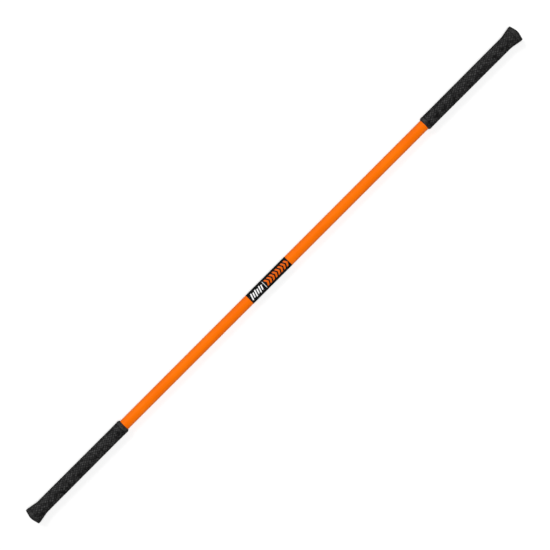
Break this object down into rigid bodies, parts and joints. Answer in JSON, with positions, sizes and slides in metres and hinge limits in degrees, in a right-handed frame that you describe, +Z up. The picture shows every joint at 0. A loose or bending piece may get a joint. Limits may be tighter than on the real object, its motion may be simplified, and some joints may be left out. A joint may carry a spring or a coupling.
{
  "type": "swing trainer stick",
  "caption": "Long straight flexible swing trainer stick with a flared textured rubber grip on each end and a wrap-round label near its middle.",
  "frame": {"origin": "on the ground under the middle of the stick, which lies on the flared rims of its two grips", "axes": "+X along the stick towards its right end, +Z up, +Y across the stick; the label is 16.5 mm towards -X and its seam faces -Z"},
  "size_m": [1.524, 0.0414, 0.0414],
  "materials": {
    "shaft": "satin orange glass-filled nylon, faint lines along the tube",
    "label": "glossy black printed film",
    "grip": "matt black rubber with a fine moulded grip pattern",
    "grip_cap": "matt black rubber, smooth",
    "plug": "natural nylon",
    "tape": "masking paper tape, sticky on both sides"
  },
  "bodies": {
    "root": {"shaft_tube": "shaft", "centre_label": "label", "right_grip_sleeve": "grip", "left_grip_sleeve": "grip", "right_grip_cap": "grip_cap", "left_grip_cap": "grip_cap", "right_end_plug": "plug", "left_end_plug": "plug", "right_grip_tape": "tape", "left_grip_tape": "tape"}
  },
  "joints": []
}
